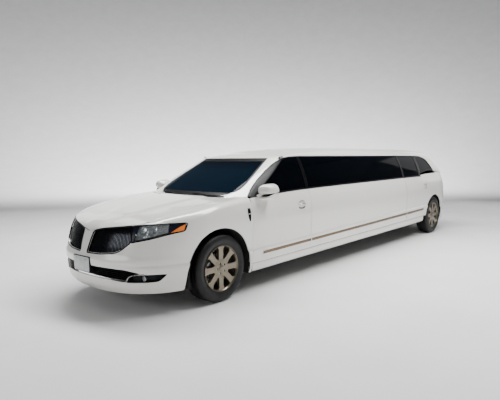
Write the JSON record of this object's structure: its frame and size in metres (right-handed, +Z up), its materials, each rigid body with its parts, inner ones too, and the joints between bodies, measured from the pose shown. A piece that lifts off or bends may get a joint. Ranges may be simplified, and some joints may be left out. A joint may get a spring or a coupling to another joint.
{
  "type": "stretch limousine",
  "caption": "Long white crossover limousine with side doors at both ends of a stretched middle, tinted windows, bonnet, liftgate and steered front wheels.",
  "frame": {"origin": "on the ground under the middle of the closed car", "axes": "+X to the front bumper, +Y to the left, +Z up"},
  "size_m": [8.3346, 2.176, 1.7119],
  "materials": {
    "paint": "pearl clearcoat",
    "underbody": "satin black",
    "tinted glass": "privacy tint",
    "clear glass": "clear",
    "lamp lens": "clear",
    "red lens": "gloss",
    "chrome": "polished",
    "dark plastic": "matte",
    "steel": "satin",
    "cast": "rough",
    "alloy": "polished",
    "tyre": "matte",
    "plate": "gloss white",
    "leather": "satin",
    "trim": "matte"
  },
  "bodies": {
    "body": {"roof_frame": "paint", "stretch_sides": "paint", "quarter_panels": "paint", "wings": "paint", "sills": "paint", "front_bumper": "paint", "rear_bumper": "paint", "cowl": "paint", "floor_pan": "underbody", "front_frame": "underbody", "windscreen": "clear glass", "side_glass": "tinted glass", "grille": "dark plastic", "lower_grille": "dark plastic", "fuel_tank": "dark plastic", "headlamps": "lamp lens", "fog_lamps": "lamp lens", "tail_lamps": "red lens", "front_plate": "plate", "engine": "cast", "front_subframe": "steel", "struts": "steel", "rear_subframe": "steel", "exhaust": "steel", "hinges": "steel", "front_seats": "leather", "rear_seat": "leather", "side_bench": "leather", "dashboard": "trim", "bar_cabinet": "trim", "partition": "trim"},
    "front_door_left": {"front_door_left": "paint", "front_door_glass_left": "tinted glass", "front_handle_left": "chrome", "mirror_left": "paint"},
    "rear_door_left": {"rear_door_left": "paint", "rear_door_glass_left": "tinted glass", "rear_handle_left": "chrome"},
    "knuckle_left": {"knuckle_left": "cast"},
    "front_wheel_left": {"front_wheel_left": "alloy", "front_tyre_left": "tyre"},
    "rear_wheel_left": {"rear_wheel_left": "alloy", "rear_tyre_left": "tyre"},
    "front_door_right": {"front_door_right": "paint", "front_door_glass_right": "tinted glass", "front_handle_right": "chrome", "mirror_right": "paint"},
    "rear_door_right": {"rear_door_right": "paint", "rear_door_glass_right": "tinted glass", "rear_handle_right": "chrome"},
    "knuckle_right": {"knuckle_right": "cast"},
    "front_wheel_right": {"front_wheel_right": "alloy", "front_tyre_right": "tyre"},
    "rear_wheel_right": {"rear_wheel_right": "alloy", "rear_tyre_right": "tyre"},
    "bonnet": {"bonnet": "paint"},
    "liftgate": {"liftgate": "paint", "liftgate_glass": "tinted glass"},
    "steering_wheel": {"steering_wheel": "trim"}
  },
  "joints": [
    {"name": "bonnet_hinge", "type": "hinge", "parent": "body", "child": "bonnet", "pos_m": [2.6515, 0, 1.04], "axis": [0, -1, 0], "range_deg": [0, 50]},
    {"name": "liftgate_hinge", "type": "hinge", "parent": "body", "child": "liftgate", "pos_m": [-3.5355, 0, 1.622], "axis": [0, 1, 0], "range_deg": [0, 85]},
    {"name": "front_door_left_hinge", "type": "hinge", "parent": "body", "child": "front_door_left", "pos_m": [2.5695, 0.956, 0.7], "axis": [0, 0, -1], "range_deg": [0, 68]},
    {"name": "rear_door_left_hinge", "type": "hinge", "parent": "body", "child": "rear_door_left", "pos_m": [-1.6525, 0.956, 0.7], "axis": [0, 0, -1], "range_deg": [0, 68]},
    {"name": "steer_left", "type": "hinge", "parent": "body", "child": "knuckle_left", "pos_m": [3.0565, 0.765, 0.37], "axis": [0, 0, 1], "range_deg": [-35, 35]},
    {"name": "front_wheel_left_spin", "type": "hinge", "parent": "knuckle_left", "child": "front_wheel_left", "pos_m": [3.0565, 0.8275, 0.37], "axis": [0, 1, 0], "continuous": true},
    {"name": "rear_wheel_left_spin", "type": "hinge", "parent": "body", "child": "rear_wheel_left", "pos_m": [-2.9865, 0.8275, 0.37], "axis": [0, 1, 0], "continuous": true},
    {"name": "front_door_right_hinge", "type": "hinge", "parent": "body", "child": "front_door_right", "pos_m": [2.5695, -0.956, 0.7], "axis": [0, 0, 1], "range_deg": [0, 68]},
    {"name": "rear_door_right_hinge", "type": "hinge", "parent": "body", "child": "rear_door_right", "pos_m": [-1.6525, -0.956, 0.7], "axis": [0, 0, 1], "range_deg": [0, 68]},
    {"name": "steer_right", "type": "hinge", "parent": "body", "child": "knuckle_right", "pos_m": [3.0565, -0.765, 0.37], "axis": [0, 0, 1], "range_deg": [-35, 35]},
    {"name": "front_wheel_right_spin", "type": "hinge", "parent": "knuckle_right", "child": "front_wheel_right", "pos_m": [3.0565, -0.8275, 0.37], "axis": [0, 1, 0], "continuous": true},
    {"name": "rear_wheel_right_spin", "type": "hinge", "parent": "body", "child": "rear_wheel_right", "pos_m": [-2.9865, -0.8275, 0.37], "axis": [0, 1, 0], "continuous": true},
    {"name": "steering_wheel_turn", "type": "hinge", "parent": "body", "child": "steering_wheel", "pos_m": [2.0465, 0.37, 0.985], "axis": [-0.8827, 0, 0.4698], "range_deg": [-530, 530]}
  ],
  "couplings": [
    {"joint": "steer_right", "follows": "steer_left", "ratio": 1},
    {"joint": "steering_wheel_turn", "follows": "steer_left", "ratio": 15}
  ]
}
